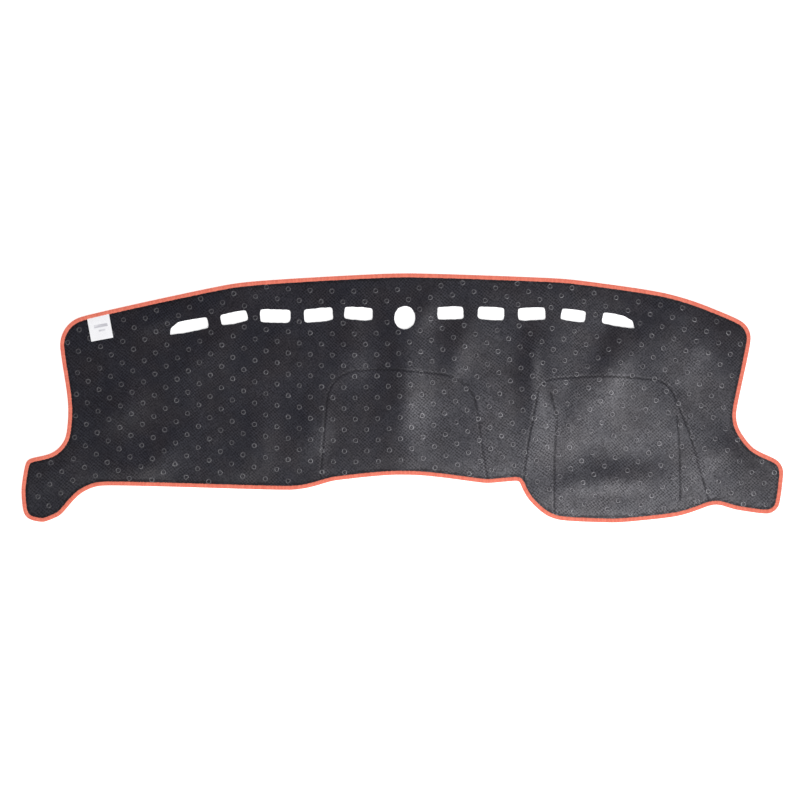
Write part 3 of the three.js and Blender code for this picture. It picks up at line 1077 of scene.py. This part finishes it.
def makeYarnMaterial():
    material, n, shader = newMaterial("coral_yarn", yarn["bright"][:3])
    along = n.add("ShaderNodeUVMap", uv_map="yarn").outputs["UV"]
    u, v, _ = n.split(along)
    leaned = n.math("MULTIPLY_ADD", v, binding["slant"] * 2, u)
    ridge = n.math("ABSOLUTE", n.math("SINE", n.math("MULTIPLY", leaned, math.pi)))
    whole = n.math("FLOOR", leaned)
    random = n.add("ShaderNodeTexWhiteNoise", noise_dimensions="1D")
    n.put(random.inputs["W"], whole)
    spun = n.join(n.math("MULTIPLY", v, 2.0), leaned, 0.0)
    strands = useGroup(n, fibreGrain, Vector=spun, Scale=9.0, Stretch=3.0)
    # Painted shade: each stitch is lighter on its crest and deep in the gaps between stitches
    rounded = n.math("MULTIPLY", ridge, 1 - yarn["perStitch"])
    toneAndShade = n.math("MULTIPLY_ADD", random.outputs["Value"], yarn["perStitch"], rounded)
    body = n.mix(toneAndShade, yarn["deep"], yarn["bright"])
    faded = n.ramp(strands["Grain"], *yarn["paleGrain"])
    n.put(shader["Base Color"], n.mix(faded, body, yarn["pale"]))
    n.put(shader["Normal"], n.bump(strands["Grain"], *yarn["bump"]))
    setPlain(shader, yarn["plain"])
    shader["Sheen Tint"].default_value = yarn["pale"]
    return material


yarnPiece = makeBinding()
yarnPiece.data.materials.append(makeYarnMaterial())
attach(yarnPiece, "root")
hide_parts("edge_binding")


# Woven label, a strip folded double with its ends under the yarn

tag = {
    "width": 0.044,
    "drop": 0.044,
    "cloth": 0.0003,
    "loop": 0.0007,  # gap between the two layers
    "opens": 0.25,  # share of the drop over which they part
    "taper": 0.35,  # share by which they close again towards the fold
    "foldPower": 10,  # the higher, the tighter the fold
    "columns": 30,
    "rows": 34,
    "lift": 0.0016,  # how far the free end stands off the backing
    "leastLift": 0.35,  # share of it at the left side
    "sway": 0.0003,
    "swayTurns": (7, 4),
    "curl": 0.0006,
    "clear": 0.0004,
    "sharp": 60,  # degrees
    # Printed bars: middle, width, height, place
    "bars": [(0.0022, 0.027, 0.0056, 0.58), (0.0030, 0.013, 0.0034, 0.38)],
}


def tagFrame():
    # The label's own axes from its solid, whose left side runs from its leftmost to its lowest corner
    points, triangles = cadArrays("care_tag")
    flat = points[:, :2]
    lowest = flat[flat[:, 1].argmin()]
    leftmost = flat[flat[:, 0].argmin()]
    down = lowest - leftmost
    down /= np.linalg.norm(down)
    across = np.array([-down[1], down[0]])
    reach = (flat - leftmost) @ across
    fall = (flat - leftmost) @ down
    top = leftmost + across * reach.min() + down * fall.min()
    return top, across, down, reach.max() - reach.min(), fall.max() - fall.min()


def labelHeights(x, v):
    # Height of the lower layer, and the gap to the upper one, at x across and v down the label
    rise = tag["lift"] * v ** 2 * (tag["leastLift"] + (1 - tag["leastLift"]) * x)
    acrossTurns, downTurns = tag["swayTurns"]
    rise += tag["sway"] * math.sin(acrossTurns * x + downTurns * v) * v
    rise += tag["curl"] * math.sin(math.pi * x) * v
    gap = tag["loop"] * (1 - tag["taper"] * v) * smoothStep(np.array(v), 0.0, tag["opens"])
    return rise, gap * math.sqrt(max(0, 1 - v ** tag["foldPower"]))


def makeTag():
    top, across, down, width, length = tagFrame()
    columns, rows = tag["columns"], tag["rows"]
    steps = np.linspace(0, 1, rows + 1)
    points, uvs = [], []
    # Down the upper layer and back up the lower one
    for layer, run in ((1, steps), (0, steps[::-1])):
        for v in run:
            for x in np.linspace(0, 1, columns + 1):
                place = top + across * (x * width) + down * (v * length)
                rise, gap = labelHeights(x, v)
                points.append((place[0], place[1], rise + layer * (gap + tag["cloth"])))
                uvs.append((x, v))
    points = np.array(points)
    points[:, 2] += groundHeight(points[:, :2]) + (laminate + tag["clear"])
    faces, line = [], columns + 1
    total = len(points) // line
    for row in range(total - 1):
        for column in range(columns):
            a = row * line + column
            faces.append((a + 1, a + line + 1, a + line, a))
    # Close the strip's mouth, which is hidden under the yarn
    last = (total - 1) * line
    for column in range(columns):
        faces.append((last + column + 1, column + 1, column, last + column))
    left = [row * line for row in range(total)]
    right = [row * line + columns for row in range(total)]
    for side, flip in ((left, False), (right, True)):
        for row in range(rows):
            quad = (side[row], side[row + 1], side[total - 2 - row], side[total - 1 - row])
            faces.append(quad if flip else quad[::-1])
    piece = meshFrom("woven_label", points, faces)
    layer = piece.data.uv_layers.new(name="label")
    corners = np.empty(len(piece.data.loops), int)
    piece.data.loops.foreach_get("vertex_index", corners)
    layer.data.foreach_set("uv", np.array(uvs)[corners].ravel())
    piece.data.set_sharp_from_angle(angle=math.radians(tag["sharp"]))
    return piece


label = {
    "white": colour(246, 246, 247),
    "thread": colour(214, 214, 218),
    "grey": colour(190, 189, 195),
    "ribs": 60.0,
    "barSoft": (0.012, 0.014),  # across and down, as shares of the label
    "printWear": (0.3, 0.6, 0.35, 1.0),  # clump from and to, and the print left there
    "bump": (0.3, 0.0002),
    "plain": {"Roughness": 0.6},
}


def makeLabelMaterial():
    material, n, shader = newMaterial("label_satin", label["white"][:3])
    place = n.add("ShaderNodeUVMap", uv_map="label").outputs["UV"]
    u, v, _ = n.split(place)
    ribs = n.join(n.math("MULTIPLY", u, label["ribs"]), n.math("MULTIPLY", v, label["ribs"]), 0.0)
    weave = useGroup(n, diamondWeave, Vector=ribs, Cross_Share=0.6, Wobble=0.1)
    lint = useGroup(n, fibreGrain, Vector=place, Scale=60.0, Stretch=4.0)
    cloth = n.mix(weave["Valley"], label["white"], label["thread"])
    softX, softY = label["barSoft"]
    mask = None
    for middle, width, height, level in tag["bars"]:
        halfX, halfY = width / 2 / tag["width"], height / 2 / tag["drop"]
        offX = n.math("ABSOLUTE", n.math("SUBTRACT", u, 0.5 + middle / tag["width"]))
        offY = n.math("ABSOLUTE", n.math("SUBTRACT", v, 1 - level))
        inX = n.ramp(offX, halfX + softX, halfX - softX)
        inY = n.ramp(offY, halfY + softY, halfY - softY)
        bar = n.math("MULTIPLY", inX, inY)
        mask = bar if mask is None else n.math("MAXIMUM", mask, bar)
    worn = n.math("MULTIPLY", mask, n.ramp(lint["Clump"], *label["printWear"]))
    n.put(shader["Base Color"], n.mix(worn, cloth, label["grey"]))
    n.put(shader["Normal"], n.bump(weave["Height"], *label["bump"]))
    setPlain(shader, label["plain"])
    return material


tagPiece = makeTag()
tagPiece.data.materials.append(makeLabelMaterial())
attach(tagPiece, "root")
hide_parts("care_tag")


# Floor, light and camera

studio = {
    "floorSize": 14.0,
    "viewWidth": 1.5768,  # metres across the picture
    "cameraHeight": 4.2,
    "sensor": 36.0,
    "middle": (-0.0045, -0.0040),
    "ceilingEdge": (0.6, 0.92),  # height on the sky where the walls end
    "wallLight": 1.0,
    "ceilingLight": 0.1,
    "paper": ((0.93, 0.93, 0.93, 1), (0.95, 0.95, 0.95, 1)),
    "paperGlow": 0.5,
    "key": {
        "place": (0.55, -0.4, 1.6),
        "aim": (0.1, 0.0, 0.0),
        "size": (0.7, 0.7),
        "power": 16.8,
        "tint": (0.97, 0.955, 1.0),
    },
    "front": {
        "place": (-0.66, -0.78, 1.3),
        "aim": (-0.6, -0.1, 0.0),
        "size": (0.6, 0.6),
        "power": 5,
        "tint": (1, 1, 1),
    },
}


def makeFloor():
    half = studio["floorSize"] / 2
    points = np.array([(-half, -half, 0), (half, -half, 0), (half, half, 0), (-half, half, 0)])
    piece = meshFrom("studio_floor", points, [(0, 1, 2, 3)], smooth=False)
    material, n, shader = newMaterial("white_paper", (1, 1, 1))
    place = n.add("ShaderNodeTexCoord").outputs["Object"]
    cloud = useGroup(n, softMottle, Vector=place, Scale=1.2, Low=0.2, High=0.8)
    n.put(shader["Base Color"], n.mix(cloud["Mask"], *studio["paper"]))
    setPlain(shader, {"Roughness": 0.9, "Specular IOR Level": 0.1, "Emission Color": (1, 1, 1, 1)})
    shader["Emission Strength"].default_value = studio["paperGlow"]
    piece.data.materials.append(material)


def addSoftbox(name, place, aim, size, power, tint):
    light = bpy.data.lights.new(name, "AREA")
    light.shape = "RECTANGLE"
    light.size, light.size_y = size
    light.energy = power
    light.color = tint
    lamp = bpy.data.objects.new(name, light)
    lamp.location = place
    lamp.rotation_euler = (Vector(aim) - Vector(place)).to_track_quat("-Z", "Y").to_euler()
    scene.collection.objects.link(lamp)


def makeWorld():
    # Bright walls under a dark ceiling keep the backing deep and the paper white
    world = bpy.data.worlds.new("pale_room")
    world.use_nodes = True
    n = NodeBuilder(world.node_tree)
    background = world.node_tree.nodes["Background"].inputs
    height = n.split(n.add("ShaderNodeTexCoord").outputs["Generated"])["Z"]
    low, high = studio["ceilingEdge"]
    n.put(background["Strength"], n.ramp(height, low, high, studio["wallLight"], studio["ceilingLight"]))
    background["Color"].default_value = (1, 1, 1, 1)
    scene.world = world


def makeStudio():
    makeFloor()
    makeWorld()
    addSoftbox("key_softbox", **studio["key"])
    addSoftbox("front_softbox", **studio["front"])
    camera = bpy.data.cameras.new("overhead_camera")
    camera.sensor_width = studio["sensor"]
    camera.lens = studio["sensor"] * studio["cameraHeight"] / studio["viewWidth"]
    eye = bpy.data.objects.new("overhead_camera", camera)
    eye.location = (*studio["middle"], studio["cameraHeight"])
    scene.collection.objects.link(eye)
    scene.camera = eye
    scene.view_settings.view_transform = "Standard"
    scene.view_settings.look = "None"


makeStudio()
print("studio done")
